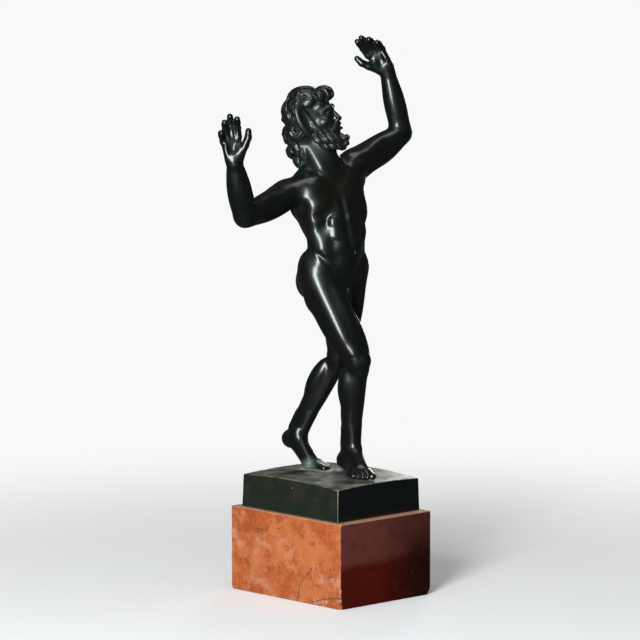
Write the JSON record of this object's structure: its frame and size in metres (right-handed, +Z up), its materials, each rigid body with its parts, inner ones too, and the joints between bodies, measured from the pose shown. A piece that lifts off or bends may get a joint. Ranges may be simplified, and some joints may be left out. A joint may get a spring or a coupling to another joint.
{
  "type": "bronze faun statuette",
  "caption": "Bronze figure of a striding, dancing faun with raised arms, on a low domed bronze base and a red marble block; stands on its underside as an ornament.",
  "frame": {"origin": "middle of the plinth's underside", "axes": "+Z up; the faun walks and faces towards -Y, the plinth's long sides run along Y, and the figure's right arm is on the -X side"},
  "size_m": [0.1666, 0.105, 0.3649],
  "materials": {
    "red_marble": "polished orange-red marble with rust blotches, small dark spots and pale veins, edges a little chipped",
    "base_bronze": "dark green-brown patinated bronze, satin, worn to bright metal along its top edges",
    "figure_bronze": "almost black patinated bronze, glossy from handling, with green and red-brown tints in the hollows"
  },
  "bodies": {
    "root": {"marble_plinth": "red_marble", "bronze_base": "base_bronze", "faun_figure": "figure_bronze"}
  },
  "joints": []
}
